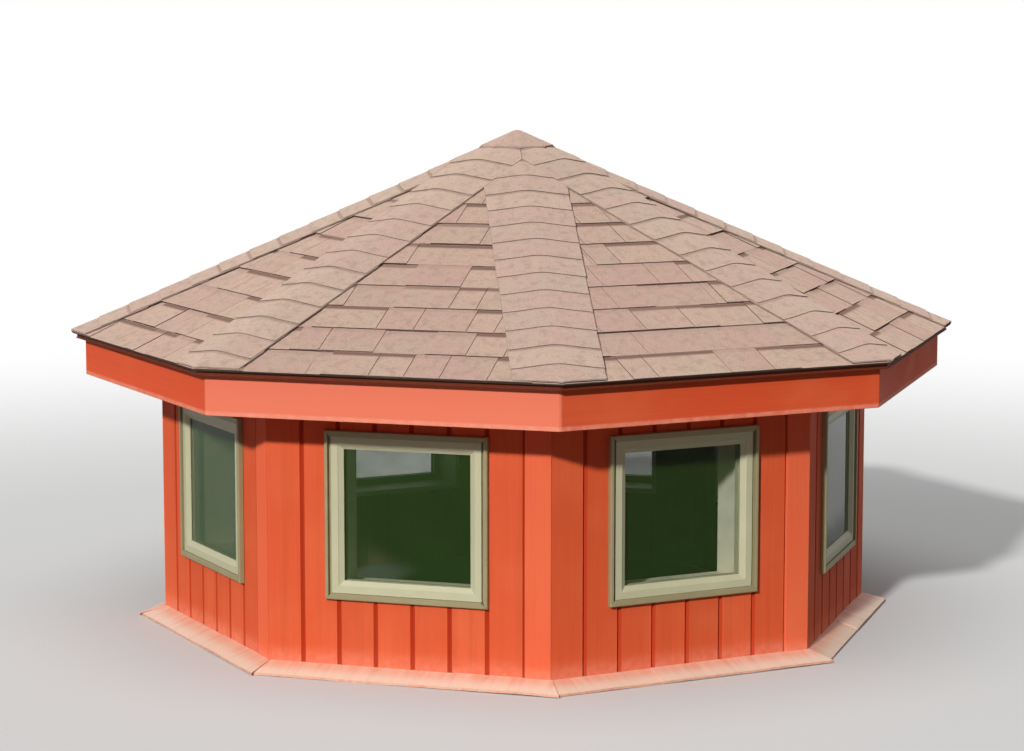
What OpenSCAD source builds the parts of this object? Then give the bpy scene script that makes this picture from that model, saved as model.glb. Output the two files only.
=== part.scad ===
// Octagonal light cupola: board walls with a square window in each, under a hipped shingle roof.
// Millimetres. The front wall faces -Y, +Z is up, and the origin is under the centre at the foot.

/* [Walls] */
// Distance across two opposite walls, over their boards
wall_flats = 2440; // [2200:10:2700]
// Height of the boards from their foot to the bottom of the fascia
wall_h = 875; // [820:5:1100]
// Thickness of a framed wall with its boards
wall_t = 172; // [100:1:200]
// Thickness of the inner lining
lining_t = 13; // [9:1:20]
// Thickness of the corner boards
corner_t = 19; // [10:1:25]
// Width of the corner board at the right end of each wall
corner_w = 92; // [60:1:120]
// How far the corner boards stand out from the other boards
corner_proud = 3; // [1:1:6]

/* [Foot] */
// Height of the sill, from the roof that it stands on to the foot of the boards
sill_h = 38; // [32:1:80]
// How far the flashing reaches out past the boards
flashing_reach = 86; // [50:1:110]
// Thickness of the flashing sheet
flashing_t = 2; // [1:0.5:4]
// Height of the flashing's turned-down outer edge
flashing_edge_h = 8; // [6:1:14]

/* [Windows] */
// Outside size of the square window casing
window_w = 580; // [480:1:640]
// Height of the casing's bottom edge above the foot of the boards
window_foot = 228; // [150:1:240]
// Width of the casing's face
casing_w = 22; // [16:1:40]
// How far the casing stands out from the boards
casing_t = 20; // [12:1:30]
// Width of the sash's face
sash_w = 42; // [30:1:60]
// Depth of the sash from front to back
sash_d = 46; // [36:1:60]
// How far the sash's face lies behind the casing's face
sash_set = 8; // [2:1:12]
// Thickness of the glass unit
glass_t = 18; // [6:1:24]
// How far the glass reaches into the sash on each side
glass_bite = 10; // [4:1:16]
// Thickness of the inner jamb liner
jamb_t = 18; // [10:1:25]
// Gap between the sash and the wall's opening
sash_gap = 1; // [0.5:0.5:2]

/* [Eaves] */
// How far the fascia's face stands out from the boards
overhang = 259; // [150:1:320]
// Thickness of the fascia boards
fascia_t = 19; // [12:1:30]
// Height of the soffit's underside above the bottom of the fascia
soffit_rise = 12; // [4:1:20]
// Thickness of the soffit boards
soffit_t = 12; // [9:1:19]
// How far the roof deck reaches past the fascia's face
deck_reach = 26; // [10:1:32]
// Thickness of the drip edge's metal
drip_t = 2; // [1:0.5:3]
// Height of the drip edge's face
drip_h = 26; // [24:1:35]

/* [Roof] */
// Pitch of the roof in degrees
pitch = 25.4; // [22:0.2:32]
// Height of the shingles' top edge at the eave above the bottom of the fascia
eave_rise = 162; // [150:1:190]
// How far the shingles reach past the drip edge
shingle_reach = 21; // [10:1:30]
// Thickness of the lapped shingles
shingle_t = 10; // [6:1:14]
// Thickness of the roof deck
deck_t = 16; // [12:1:19]
// Gap along each hip between the deck's panels, and between the shingles of two slopes
hip_gap = 4; // [2:1:12]
// Width of the hip caps, seen from above
cap_w = 300; // [200:5:340]
// Thickness of the hip caps
cap_t = 6; // [4:1:9]
// Distance across the crown piece at the top
crown_w = 250; // [160:5:320]

/* [Framing] */
// Thickness of the hip rafters
rafter_t = 38; // [30:1:48]
// Depth of the hip rafters, square to their length
rafter_d = 140; // [120:1:160]
// Height of the notch that seats a rafter on the wall plate
seat_h = 40; // [25:1:55]
// Thickness of the wall plate
plate_t = 38; // [30:1:45]
// Distance across the flats of the hub where the rafters meet
hub_flats = 120; // [100:1:160]
// Height of the hub
hub_h = 200; // [180:1:260]
// Thickness of the blocking boards between the rafters, over the plate
blocking_t = 38; // [20:1:60]

/* [Hidden] */
SIDES = 8;
half_angle = 180 / SIDES;
step_angle = 360 / SIDES;
past = 1;

board_r = wall_flats / 2;
corner_r = board_r + corner_proud;
recess_r = corner_r - corner_t;
corner_edge = corner_r * tan(half_angle) - corner_w;
wall_in_r = board_r - wall_t;
lining_r = wall_in_r - lining_t;
fascia_r = board_r + overhang;
fascia_in_r = fascia_r - fascia_t;
deck_r = fascia_r + deck_reach;
drip_r = deck_r + drip_t;
eave_r = drip_r + shingle_reach;
flashing_r = board_r + flashing_reach;

fascia_z = sill_h + wall_h;
soffit_z = fascia_z + soffit_rise;
soffit_top = soffit_z + soffit_t;
apex_z = fascia_z + eave_rise + eave_r * tan(pitch);

opening_w = window_w - 2 * casing_w;
sash_out_w = opening_w - 2 * sash_gap;
glass_w = sash_out_w - 2 * sash_w;
window_z = sill_h + window_foot + window_w / 2;
sash_r = board_r + casing_t - sash_set;
sash_back_r = sash_r - sash_d;
glass_r = sash_r - (sash_d - glass_t) / 2;

function shingle_top(r) = apex_z - r * tan(pitch);
function deck_top(r) = shingle_top(r) - shingle_t / cos(pitch);
function deck_under(r) = deck_top(r) - deck_t / cos(pitch);
function cap_top(r) = shingle_top(r) + cap_t / cos(pitch);
function crown_top(r) = cap_top(r) + cap_t / cos(pitch);

hip_pitch = atan(tan(pitch) * cos(half_angle));
hip_drop = tan(pitch) * rafter_t / 2 * sin(half_angle);
function hip_top(r) = deck_under(r * cos(half_angle)) - hip_drop;
rafter_h = rafter_d / cos(hip_pitch);
rafter_end = (fascia_in_r - rafter_t / 2 * sin(half_angle)) / cos(half_angle);
plate_top = hip_top(board_r / cos(half_angle)) - rafter_h + seat_h;
wall_top = plate_top - plate_t;

// A regular octagon with a flat towards each of the eight walls; r is the distance to a flat.
module octagon(r) {
    rotate(half_angle) circle(r = r / cos(half_angle), $fn = SIDES);
}

// A level ring between two octagons.
module ring(outer_r, inner_r, low, high) {
    translate([0, 0, low]) linear_extrude(high - low) difference() {
        octagon(outer_r);
        octagon(inner_r);
    }
}

// A section, given by distance to the flats and height, carried round the octagon.
module turned(section) {
    rotate(half_angle) rotate_extrude($fn = SIDES)
        polygon([for (p = section) [p[0] / cos(half_angle), p[1]]]);
}

// Turns its children from the front wall to another one, counted towards +X.
module at_side(side) {
    rotate(side * step_angle) children();
}

// A square bar of space through the front wall at the window's height.
module window_block(size, outer_r, inner_r) {
    translate([-size / 2, -outer_r, window_z - size / 2]) cube([size, outer_r - inner_r, size]);
}

// A square frame at the window's height, on the front wall.
module window_frame(size, bar, outer_r, inner_r) {
    difference() {
        window_block(size, outer_r, inner_r);
        window_block(size - 2 * bar, outer_r + past, inner_r - past);
    }
}

// Level timber ring that the walls stand on.
module sill() {
    color("burlywood") ring(board_r, wall_in_r, 0, sill_h);
}

// Painted metal apron that sheds water from the foot of the boards onto the roof.
module base_flashing() {
    slope_drop = flashing_t / cos(atan((sill_h - flashing_edge_h) / (flashing_r - board_r)));
    color("lightsalmon") turned([
        [board_r, sill_h],
        [flashing_r, flashing_edge_h],
        [flashing_r, 0],
        [flashing_r - flashing_t, 0],
        [flashing_r - flashing_t, flashing_edge_h - slope_drop],
        [board_r + flashing_t, sill_h - 2 * slope_drop],
        [board_r + flashing_t, 0],
        [board_r, 0]
    ]);
}

// Upright block at the right end of the front wall, mitred at the corner, as high as the corner boards.
module corner_block(outer_r) {
    translate([0, 0, sill_h]) linear_extrude(soffit_z - sill_h) polygon([
        [corner_edge, -outer_r], [outer_r * tan(half_angle), -outer_r],
        [recess_r * tan(half_angle), -recess_r], [corner_edge, -recess_r]
    ]);
}

// One framed and boarded wall, mitred to its neighbours, with the window's opening.
module wall(side) {
    outer_half = board_r * tan(half_angle);
    inner_half = wall_in_r * tan(half_angle);
    color("orangered") at_side(side) difference() {
        translate([0, 0, sill_h]) linear_extrude(wall_top - sill_h) polygon([
            [-outer_half, -board_r], [outer_half, -board_r],
            [inner_half, -wall_in_r], [-inner_half, -wall_in_r]
        ]);
        window_block(opening_w, board_r + past, wall_in_r - past);
        corner_block(board_r + past);
    }
}

// Plain board that finishes the right end of each wall, let in beside the last full board.
module corner_boards() {
    color("tomato") for (side = [0 : SIDES - 1]) at_side(side) corner_block(corner_r);
}

// Square casing nailed over the boards around each window.
module window_casings() {
    color("tan") for (side = [0 : SIDES - 1]) at_side(side)
        window_frame(window_w, casing_w, board_r + casing_t, board_r);
}

// Fixed sash with a groove that holds the glass.
module sash(side) {
    color("beige") at_side(side) difference() {
        window_frame(sash_out_w, sash_w, sash_r, sash_back_r);
        window_block(glass_w + 2 * glass_bite, glass_r, glass_r - glass_t);
    }
}

// Sealed glass unit of one window.
module glass(side) {
    color("darkseagreen") at_side(side)
        window_block(glass_w + 2 * glass_bite, glass_r, glass_r - glass_t);
}

// Pale boards that line each window's opening from the sash to the inner lining.
module jamb_liners() {
    color("cornsilk") for (side = [0 : SIDES - 1]) at_side(side)
        window_frame(opening_w, jamb_t, sash_back_r, lining_r);
}

// Inner face of the light well, from the foot to the top of the plate, cut round the windows.
module inner_lining() {
    color("saddlebrown") difference() {
        ring(wall_in_r, lining_r, 0, plate_top);
        for (side = [0 : SIDES - 1]) at_side(side)
            window_block(opening_w, wall_in_r + past, lining_r - past);
    }
}

// Level timber ring on top of the walls, under the rafters.
module wall_plate() {
    color("burlywood") ring(board_r, wall_in_r, wall_top, plate_top);
}

// Level boards that close the eaves from below.
module soffit() {
    color("indianred") ring(fascia_in_r, board_r, soffit_z, soffit_top);
}

// Upright boards round the eaves, mitred at the corners, with a top that follows the deck.
module fascia() {
    color("coral") turned([
        [fascia_in_r, fascia_z], [fascia_r, fascia_z],
        [fascia_r, deck_under(fascia_r)], [fascia_in_r, deck_under(fascia_in_r)]
    ]);
}

// Thin painted metal strip over the deck's edge.
module drip_edge() {
    color("brown") turned([
        [deck_r, deck_top(deck_r)], [drip_r, deck_top(drip_r)],
        [drip_r, deck_top(deck_r) - drip_h], [deck_r, deck_top(deck_r) - drip_h]
    ]);
}

// A sloping board under the corner to the right of the front wall, along a hip rafter's top line.
module rafter_blank(above, below) {
    start = hub_flats / 2;
    rotate(half_angle) rotate([90, 0, -90]) translate([0, 0, -rafter_t / 2])
        linear_extrude(rafter_t) polygon([
            [start, hip_top(start) + above],
            [rafter_end, hip_top(rafter_end) + above],
            [rafter_end, hip_top(rafter_end) - below],
            [start, hip_top(start) - below]
        ]);
}

// Hip rafters, notched over the plate and cut level above the soffit.
module hip_rafters() {
    color("burlywood") for (side = [0 : SIDES - 1]) at_side(side) difference() {
        rafter_blank(0, rafter_h);
        ring(board_r, wall_in_r, soffit_z, plate_top);
        translate([0, 0, soffit_top - rafter_h]) linear_extrude(rafter_h) difference() {
            octagon(eave_r);
            octagon(board_r - past);
        }
    }
}

// Boards on the plate's outer edge that close the eaves between the rafters, up to the deck.
module eave_blocking() {
    inner_r = board_r - blocking_t;
    color("burlywood") difference() {
        turned([
            [inner_r, plate_top], [board_r, plate_top],
            [board_r, deck_under(board_r)], [inner_r, deck_under(inner_r)]
        ]);
        for (side = [0 : SIDES - 1]) at_side(side)
            rafter_blank(hip_drop + past, rafter_h + seat_h);
    }
}

// Post at the top that the rafters butt against, one on each flat.
module rafter_hub() {
    hub_top = deck_under(hub_flats / 2 / cos(half_angle));
    color("peru") translate([0, 0, hub_top - hub_h])
        cylinder(h = hub_h, r = hub_flats / 2 / cos(half_angle), $fn = SIDES);
}

// One layer of the front slope: a section drawn across the slope, trimmed along both hips.
module slope_layer(section) {
    tip = hip_gap / 2 / sin(half_angle);
    reach = eave_r + past;
    intersection() {
        rotate([90, 0, 90]) translate([0, 0, -reach]) linear_extrude(2 * reach)
            polygon([for (p = section) [-p[0], p[1]]]);
        linear_extrude(apex_z + past) polygon([
            [0, -tip],
            [(reach - tip) * tan(half_angle), -reach],
            [-(reach - tip) * tan(half_angle), -reach]
        ]);
    }
}

// Boarded roof deck under the shingles, one panel to each slope.
module roof_deck() {
    color("wheat") for (side = [0 : SIDES - 1]) at_side(side) slope_layer([
        [0, deck_top(0)], [deck_r, deck_top(deck_r)],
        [deck_r, deck_under(deck_r)], [0, deck_under(0)]
    ]);
}

// Lapped shingles of the eight slopes.
module shingles() {
    color("rosybrown") for (side = [0 : SIDES - 1]) at_side(side) slope_layer([
        [0, shingle_top(0)], [eave_r, shingle_top(eave_r)],
        [eave_r, deck_top(eave_r)], [0, deck_top(0)]
    ]);
}

// Strips of cap shingles folded over the eight hips, meeting at the top.
module hip_caps() {
    color("tan") intersection() {
        turned([
            [0, cap_top(0)], [eave_r, cap_top(eave_r)],
            [eave_r, shingle_top(eave_r)], [0, shingle_top(0)]
        ]);
        translate([0, 0, fascia_z]) linear_extrude(apex_z) for (side = [0 : SIDES / 2 - 1])
            rotate(half_angle + side * step_angle) square([3 * eave_r, cap_w], center = true);
    }
}

// Small crown piece that covers the ends of the hip caps.
module crown_cap() {
    color("tan") turned([
        [0, crown_top(0)], [crown_w / 2, crown_top(crown_w / 2)],
        [crown_w / 2, cap_top(crown_w / 2)], [0, cap_top(0)]
    ]);
}

sill();
base_flashing();
wall(0);  // wall_front
wall(1);  // wall_front_right
wall(2);  // wall_right
wall(3);  // wall_back_right
wall(4);  // wall_back
wall(5);  // wall_back_left
wall(6);  // wall_left
wall(7);  // wall_front_left
corner_boards();
window_casings();
sash(0);  // sash_front
sash(1);  // sash_front_right
sash(2);  // sash_right
sash(3);  // sash_back_right
sash(4);  // sash_back
sash(5);  // sash_back_left
sash(6);  // sash_left
sash(7);  // sash_front_left
glass(0);  // glass_front
glass(1);  // glass_front_right
glass(2);  // glass_right
glass(3);  // glass_back_right
glass(4);  // glass_back
glass(5);  // glass_back_left
glass(6);  // glass_left
glass(7);  // glass_front_left
jamb_liners();
inner_lining();
wall_plate();
soffit();
fascia();
drip_edge();
hip_rafters();
eave_blocking();
rafter_hub();
roof_deck();
shingles();
hip_caps();
crown_cap();
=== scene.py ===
# %% [markdown]
# # An octagonal garage cupola
# This lesson dresses a small eight-sided timber cupola: boarded walls with a square window in
# each, a metal flashing round its foot, and a shingle roof with a cap over every hip. The CAD
# frame already has the true sizes. Every piece here is made in metres, in that same frame.

# %% Load the frame
import math
import random

import bmesh
import bpy
from mathutils import Matrix, Vector


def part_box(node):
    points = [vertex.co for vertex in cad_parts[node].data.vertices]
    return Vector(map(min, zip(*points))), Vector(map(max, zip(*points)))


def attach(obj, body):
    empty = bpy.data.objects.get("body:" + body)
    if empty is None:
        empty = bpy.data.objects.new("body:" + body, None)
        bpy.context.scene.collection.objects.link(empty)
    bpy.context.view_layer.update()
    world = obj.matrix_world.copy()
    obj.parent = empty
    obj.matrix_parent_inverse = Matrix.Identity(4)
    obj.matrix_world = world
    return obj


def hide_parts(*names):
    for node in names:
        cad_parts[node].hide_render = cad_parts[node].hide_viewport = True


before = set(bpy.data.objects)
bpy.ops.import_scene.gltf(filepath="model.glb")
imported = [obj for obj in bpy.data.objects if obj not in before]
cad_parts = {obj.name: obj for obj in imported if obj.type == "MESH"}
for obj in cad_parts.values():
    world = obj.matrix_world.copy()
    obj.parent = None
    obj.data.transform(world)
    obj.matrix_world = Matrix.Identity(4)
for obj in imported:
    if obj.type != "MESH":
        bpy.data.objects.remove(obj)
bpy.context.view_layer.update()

# %% [markdown]
# ## Camera
# The photograph was taken from the ground, a little to the right of the front wall and slightly
# above the eaves. The camera stands at that measured place, so that the perspective agrees. A
# longer lens brings the object closer. The aim is set with a quaternion that tracks -Z.

# %% Camera
CAMERA_PLACE = Vector((3.139, -9.883, 2.215))
CAMERA_AIM = Vector((-0.02, 0.0, 0.89))
LENS_MM = 98.0
lens = bpy.data.cameras.new("camera")
lens.lens = LENS_MM
camera = bpy.data.objects.new("camera", lens)
camera.location = CAMERA_PLACE
camera.rotation_mode = "QUATERNION"
camera.rotation_quaternion = (CAMERA_AIM - CAMERA_PLACE).to_track_quat("-Z", "Y")
bpy.context.collection.objects.link(camera)
bpy.context.scene.camera = camera
print("camera distance", round((CAMERA_AIM - CAMERA_PLACE).length, 2), "m")

# %% [markdown]
# ## Light
# A low lamp stands in front, a little to the left, and its angle decides how deep the shadow under
# the eaves is. A wide, weak lamp above evens out the roof, and the world fills the rest. A colour
# should render about as it is written, so the view transform is Standard. Only camera, mirror and
# glass rays see the world as white, so the white background adds almost no light to the object.

# %% Light
scene = bpy.context.scene
scene.view_settings.view_transform = "Standard"


def lamp(name, energy, softness, height, to_left):
    """A sun-type lamp. Angles are in degrees, and height is measured up from level."""
    light = bpy.data.lights.new(name, "SUN")
    light.energy = energy
    light.angle = math.radians(softness)
    holder = bpy.data.objects.new(name, light)
    holder.rotation_euler = (math.radians(90 - height), 0, math.radians(-to_left))
    bpy.context.collection.objects.link(holder)


lamp("front_lamp", 2.94, 3.0, 25.5, 3)
lamp("top_lamp", 1.05, 60, 78, 0)

FILL = 0.12
FILL_COLOUR = (0.96, 0.98, 1.0, 1)
WHITE = (1, 1, 1, 1)
MIRROR_AND_GLASS = ("Is Glossy Ray", "Is Transmission Ray")
world = bpy.data.worlds.new("studio")
scene.world = world
world.use_nodes = True
nodes, links = world.node_tree.nodes, world.node_tree.links
sky = nodes["Background"]
sky.inputs["Color"].default_value = FILL_COLOUR
sky.inputs["Strength"].default_value = FILL
white = nodes.new("ShaderNodeBackground")
white.inputs["Color"].default_value = WHITE
white.inputs["Strength"].default_value = 1.0
ray = nodes.new("ShaderNodeLightPath")
seen = ray.outputs["Is Camera Ray"]
for other in MIRROR_AND_GLASS:
    either = nodes.new("ShaderNodeMath")
    either.operation = "MAXIMUM"
    links.new(seen, either.inputs[0])
    links.new(ray.outputs[other], either.inputs[1])
    seen = either.outputs[0]
choice = nodes.new("ShaderNodeMixShader")
links.new(seen, choice.inputs[0])
links.new(sky.outputs[0], choice.inputs[1])
links.new(white.outputs[0], choice.inputs[2])
links.new(choice.outputs[0], nodes["World Output"].inputs["Surface"])
print("lamps", [light.name for light in bpy.data.lights], "fill", FILL)

# %% [markdown]
# ## Shader maths as Python
# A finish is a material with its node tree. `Wire` wraps one socket, so `1 - mask` or `a * b`
# adds a Math node. One method, `Finish.node`, makes and connects every node.

# %% Wire and Finish
class Wire:
    """A socket of a finish. Python's operators on it add Math nodes."""

    def __init__(self, finish, socket):
        self.finish = finish
        self.socket = socket

    def maths(self, operation, first, second):
        return self.finish.node("ShaderNodeMath", {"operation": operation}, {0: first, 1: second})

    def __add__(self, other):
        return self.maths("ADD", self, other)

    def __sub__(self, other):
        return self.maths("SUBTRACT", self, other)

    def __rsub__(self, other):
        return self.maths("SUBTRACT", other, self)

    def __mul__(self, other):
        return self.maths("MULTIPLY", self, other)

    def __pow__(self, other):
        return self.maths("POWER", self, other)


SPREAD = 37.0


class Finish:
    """A material that is built from its Principled shader outwards."""

    def __init__(self, name, **fixed):
        self.material = bpy.data.materials.new(name)
        self.material.use_nodes = True
        self.tree = self.material.node_tree
        self.shader = self.tree.nodes["Principled BSDF"]
        for socket, value in fixed.items():
            self.shader.inputs[socket.replace("_", " ")].default_value = value

    def node(self, kind, settings=None, sockets=None, output=0):
        made = self.tree.nodes.new(kind)
        for key, value in (settings or {}).items():
            setattr(made, key, value)
        for socket, value in (sockets or {}).items():
            self.feed(made.inputs[socket], value)
        return Wire(self, made.outputs[output])

    def feed(self, socket, value):
        if isinstance(value, Wire):
            self.tree.links.new(value.socket, socket)
        else:
            socket.default_value = value

    def surface(self, **links_in):
        for socket, value in links_in.items():
            self.feed(self.shader.inputs[socket.replace("_", " ")], value)

    def place(self):
        return self.node("ShaderNodeTexCoord", output="Object")

    def laid(self):
        """The piece's own flat map in metres, moved to a new spot for every board or tab."""
        flat = self.node("ShaderNodeUVMap", {"uv_map": "laid"})
        jump = {0: self.tone() * SPREAD, 1: self.tone() * (SPREAD / 3)}
        shift = self.node("ShaderNodeCombineXYZ", sockets=jump)
        return self.node("ShaderNodeVectorMath", {"operation": "ADD"}, {0: flat, 1: shift})

    def split(self, vector):
        """The three coordinates of a vector."""
        return [self.node("ShaderNodeSeparateXYZ", sockets={0: vector}, output=axis) for axis in "XYZ"]

    def flat(self, axis):
        """One coordinate of the flat map in metres, X or Y, not moved."""
        flat = self.node("ShaderNodeUVMap", {"uv_map": "laid"})
        return self.node("ShaderNodeSeparateXYZ", sockets={0: flat}, output=axis)

    def mark(self, name):
        """A number that the mesh carries on its faces."""
        return self.node("ShaderNodeAttribute", {"attribute_name": name}, output="Fac")

    def tone(self):
        return self.mark("tone")

    def stretch(self, vector, along, across, depth=1.0):
        factors = (across, along, depth)
        return self.node("ShaderNodeVectorMath", {"operation": "MULTIPLY"}, {0: vector, 1: factors})

    def noise(self, vector, scale, detail, roughness=0.55):
        sockets = {"Vector": vector, "Scale": scale, "Detail": detail, "Roughness": roughness}
        return self.node("ShaderNodeTexNoise", sockets=sockets)

    def between(self, value, low, high, to_low=0.0, to_high=1.0):
        """A soft step from to_low to to_high, while the value goes from low to high."""
        return self.node(
            "ShaderNodeMapRange", {"interpolation_type": "SMOOTHSTEP"},
            {"Value": value, 1: low, 2: high, 3: to_low, 4: to_high},
        )

    def mix(self, share, first, second):
        colours = {0: share, 6: first, 7: second}
        return self.node("ShaderNodeMix", {"data_type": "RGBA"}, colours, output=2)

    def bump(self, height, distance, strength):
        sockets = {"Height": height, "Distance": distance, "Strength": strength}
        return self.node("ShaderNodeBump", sockets=sockets, output="Normal")


def shade(colour, factor):
    return (*(min(1.0, c * factor) for c in colour[:3]), 1.0)


print("finish tools ready")

# %% [markdown]
# ## Floor
# The floor keeps the object's shadow. Its own colour is dim, so that it throws little light back
# up at the eaves, and round the object the camera is shown a pale one instead. Far away it turns
# into plain white for the camera, so that no horizon line shows. Under the object neither is
# added, so the shaft stays dim. The distance is taken from Object coordinates.

# %% Floor
DIM_FLOOR = (0.17, 0.17, 0.165, 1)
PALE_FLOOR = (0.74, 0.74, 0.73, 1)
PALE_FROM, PALE_TO = 1.05, 1.30
WHITE_FROM, WHITE_TO = 2.6, 9.0
FLOOR_REACH = 60

floor_finish = Finish("studio_floor", Roughness=0.9, Specular_IOR_Level=0.1)
far = floor_finish.node(
    "ShaderNodeVectorMath", {"operation": "LENGTH"}, {0: floor_finish.place()}, output="Value"
)
glow = floor_finish.node("ShaderNodeEmission", sockets={"Color": WHITE, "Strength": 1.0})
seen = floor_finish.node("ShaderNodeLightPath", output="Is Camera Ray")
for other in MIRROR_AND_GLASS:
    seen = seen.maths("MAXIMUM", seen, floor_finish.node("ShaderNodeLightPath", output=other))
pale = seen * floor_finish.between(far, PALE_FROM, PALE_TO)
floor_finish.surface(Base_Color=floor_finish.mix(pale, DIM_FLOOR, PALE_FLOOR))
share = seen * floor_finish.between(far, WHITE_FROM, WHITE_TO)
lit = Wire(floor_finish, floor_finish.shader.outputs[0])
blend = floor_finish.node("ShaderNodeMixShader", sockets={0: share, 1: lit, 2: glow})
floor_out = floor_finish.tree.nodes["Material Output"]
floor_finish.tree.links.new(blend.socket, floor_out.inputs["Surface"])

bm = bmesh.new()
bmesh.ops.create_grid(bm, x_segments=4, y_segments=4, size=FLOOR_REACH)
floor_mesh = bpy.data.meshes.new("floor")
bm.to_mesh(floor_mesh)
bm.free()
floor_mesh.materials.append(floor_finish.material)
floor = bpy.data.objects.new("floor", floor_mesh)
bpy.context.collection.objects.link(floor)
print("floor in place")

# %% [markdown]
# ## Sizes
# These are the same sizes as the CAD frame's, in metres. The plan is a regular octagon. A distance
# to a flat side is called r, and two sides meet on a mitre line at x = r * tan(22.5 degrees). A
# hip rises more gently than the slopes beside it.

# %% Sizes
SIDES = ("front", "front_right", "right", "back_right", "back", "back_left", "left", "front_left")
STEP = math.pi / 4
MITRE = math.tan(STEP / 2)
PITCH = math.radians(25.4)
HIP_RISE = math.atan(math.tan(PITCH) * math.cos(STEP / 2))

BOARD_R = 1.220
CORNER_R = BOARD_R + 0.003
RECESS_R = CORNER_R - 0.019
WALL_IN_R = BOARD_R - 0.172
LINING_R = WALL_IN_R - 0.013
FASCIA_R = BOARD_R + 0.259
FASCIA_IN_R = FASCIA_R - 0.019
DECK_R = FASCIA_R + 0.026
DRIP_R = DECK_R + 0.002
EAVE_R = DRIP_R + 0.021
FLASHING_R = BOARD_R + 0.086

SILL_H = 0.038
FASCIA_Z = SILL_H + 0.875
SOFFIT_Z = FASCIA_Z + 0.012
EAVE_Z = FASCIA_Z + 0.162
PLATE_TOP = float(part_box("wall_plate")[1].z)
WALL_TOP = PLATE_TOP - 0.038

WINDOW_HALF = 0.290
OPENING_HALF = 0.268
WINDOW_Z = SILL_H + 0.228 + WINDOW_HALF
CASING_FACE_R = BOARD_R + 0.020
SASH_FACE_R = CASING_FACE_R - 0.008
SASH_BACK_R = SASH_FACE_R - 0.046
CORNER_EDGE = CORNER_R * MITRE - 0.092

SHINGLE_T = 0.010
DECK_T = 0.016


def slope_z(r, drop=0.0):
    """Height of the shingles' top surface at r, or of a layer that lies a little below it."""
    return EAVE_Z + (EAVE_R - r) * math.tan(PITCH) - drop / math.cos(PITCH)


print("plate top", round(PLATE_TOP, 4), "apex", round(slope_z(0), 4))

# %% [markdown]
# ## Making and keeping a piece
# Each piece starts as a bmesh of the front side, mostly a section that is pulled into a bar. `lay`
# writes a flat map in metres, so that grain and streaks follow every board. `all_round` copies the
# front side to the other seven. `tones` gives each loose board a number of its own, and `keep`
# makes the object and ties it to the frame.

# %% Helpers for pieces
def lay(bm):
    """Maps every face in metres, seen along the axis that it faces most."""
    flat = bm.loops.layers.uv.new("laid")
    for face in bm.faces:
        face.normal_update()
        steep = [abs(v) for v in face.normal]
        for loop in face.loops:
            x, y, z = loop.vert.co
            if steep[1] >= max(steep[0], steep[2]) - 1e-4:
                loop[flat].uv = (x, z)
            elif steep[0] > steep[2]:
                loop[flat].uv = (y, z)
            else:
                loop[flat].uv = (x, y)


def all_round(bm, steps=7, angle=7 * STEP, centre=(0, 0, 0), axis=(0, 0, 1)):
    """Adds turned copies of all that is there, by default one on each of the other sides."""
    everything = bm.verts[:] + bm.edges[:] + bm.faces[:]
    bmesh.ops.spin(
        bm, geom=everything, cent=centre, axis=axis, angle=angle, steps=steps, use_duplicate=True
    )


def turn_to(bm, side):
    turn = Matrix.Rotation(side * STEP, 3, "Z")
    bmesh.ops.rotate(bm, verts=bm.verts, cent=(0, 0, 0), matrix=turn)


def tones(bm, seed):
    """Gives each loose part a random number for its finish, and returns how many there are."""
    draw = random.Random(seed)
    layer = bm.faces.layers.float.new("tone")
    done = set()
    count = 0
    for first in bm.faces:
        if first in done:
            continue
        value = draw.random()
        count += 1
        done.add(first)
        waiting = [first]
        while waiting:
            face = waiting.pop()
            face[layer] = value
            for edge in face.edges:
                for other in edge.link_faces:
                    if other not in done:
                        done.add(other)
                        waiting.append(other)
    return count


def keep(name, bm, slot, finish, *stands_for):
    """Makes the object, with its material slot, in place of the frame's nodes of these names. The slot
    argument is not used.
    """
    bmesh.ops.recalc_face_normals(bm, faces=bm.faces)
    mesh = bpy.data.meshes.new(name)
    bm.to_mesh(mesh)
    bm.free()
    mesh.materials.append(finish.material)
    piece = bpy.data.objects.new(name, mesh)
    bpy.context.collection.objects.link(piece)
    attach(piece, "root")
    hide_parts(*stands_for)


def ease(bm, width, edges=None, segments=1):
    """Takes the sharpness off edges, as a plane or a sander does."""
    bmesh.ops.bevel(
        bm, geom=bm.edges[:] if edges is None else edges, offset=width, segments=segments,
        profile=0.5, affect="EDGES", material=-1,
    )


def polygon(bm, points):
    return bm.faces.new([bm.verts.new(p) for p in points])


def grow(bm, faces):
    """Extrudes faces and returns the new vertices, which still have to be moved."""
    made = bmesh.ops.extrude_face_region(bm, geom=faces)["geom"]
    return [part for part in made if isinstance(part, bmesh.types.BMVert)]


def bar(bm, left_end):
    """A straight bar from its section on the left mitre to the mirrored section on the right."""
    section = polygon(bm, left_end)
    for vert in grow(bm, [section]):
        vert.co.x = -vert.co.x


def ring_bar(bm, section):
    """One side of a mitred octagon. The section is a list of (r, z)."""
    bar(bm, [(-r * MITRE, -r, z) for r, z in section])


def window_bar(bm, section):
    """The bottom bar of a mitred square frame. The section is a list of (half size, r)."""
    bar(bm, [(-half, -r, WINDOW_Z - half) for half, r in section])


def four_round(bm):
    """Copies the bottom bar of a square frame to its other three sides."""
    all_round(bm, 3, 3 * math.pi / 2, (0, -BOARD_R, WINDOW_Z), (0, 1, 0))


def cut_at(bm, point, normal, **clear):
    everything = bm.verts[:] + bm.edges[:] + bm.faces[:]
    bmesh.ops.bisect_plane(bm, geom=everything, plane_co=point, plane_no=normal, **clear)


def trim(bm, point, normal):
    """Cuts away all that lies beyond a plane and closes the cut ends."""
    cut_at(bm, point, normal, clear_outer=True)
    open_edges = [edge for edge in bm.edges if edge.is_boundary]
    bmesh.ops.holes_fill(bm, edges=open_edges, sides=0)


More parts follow.
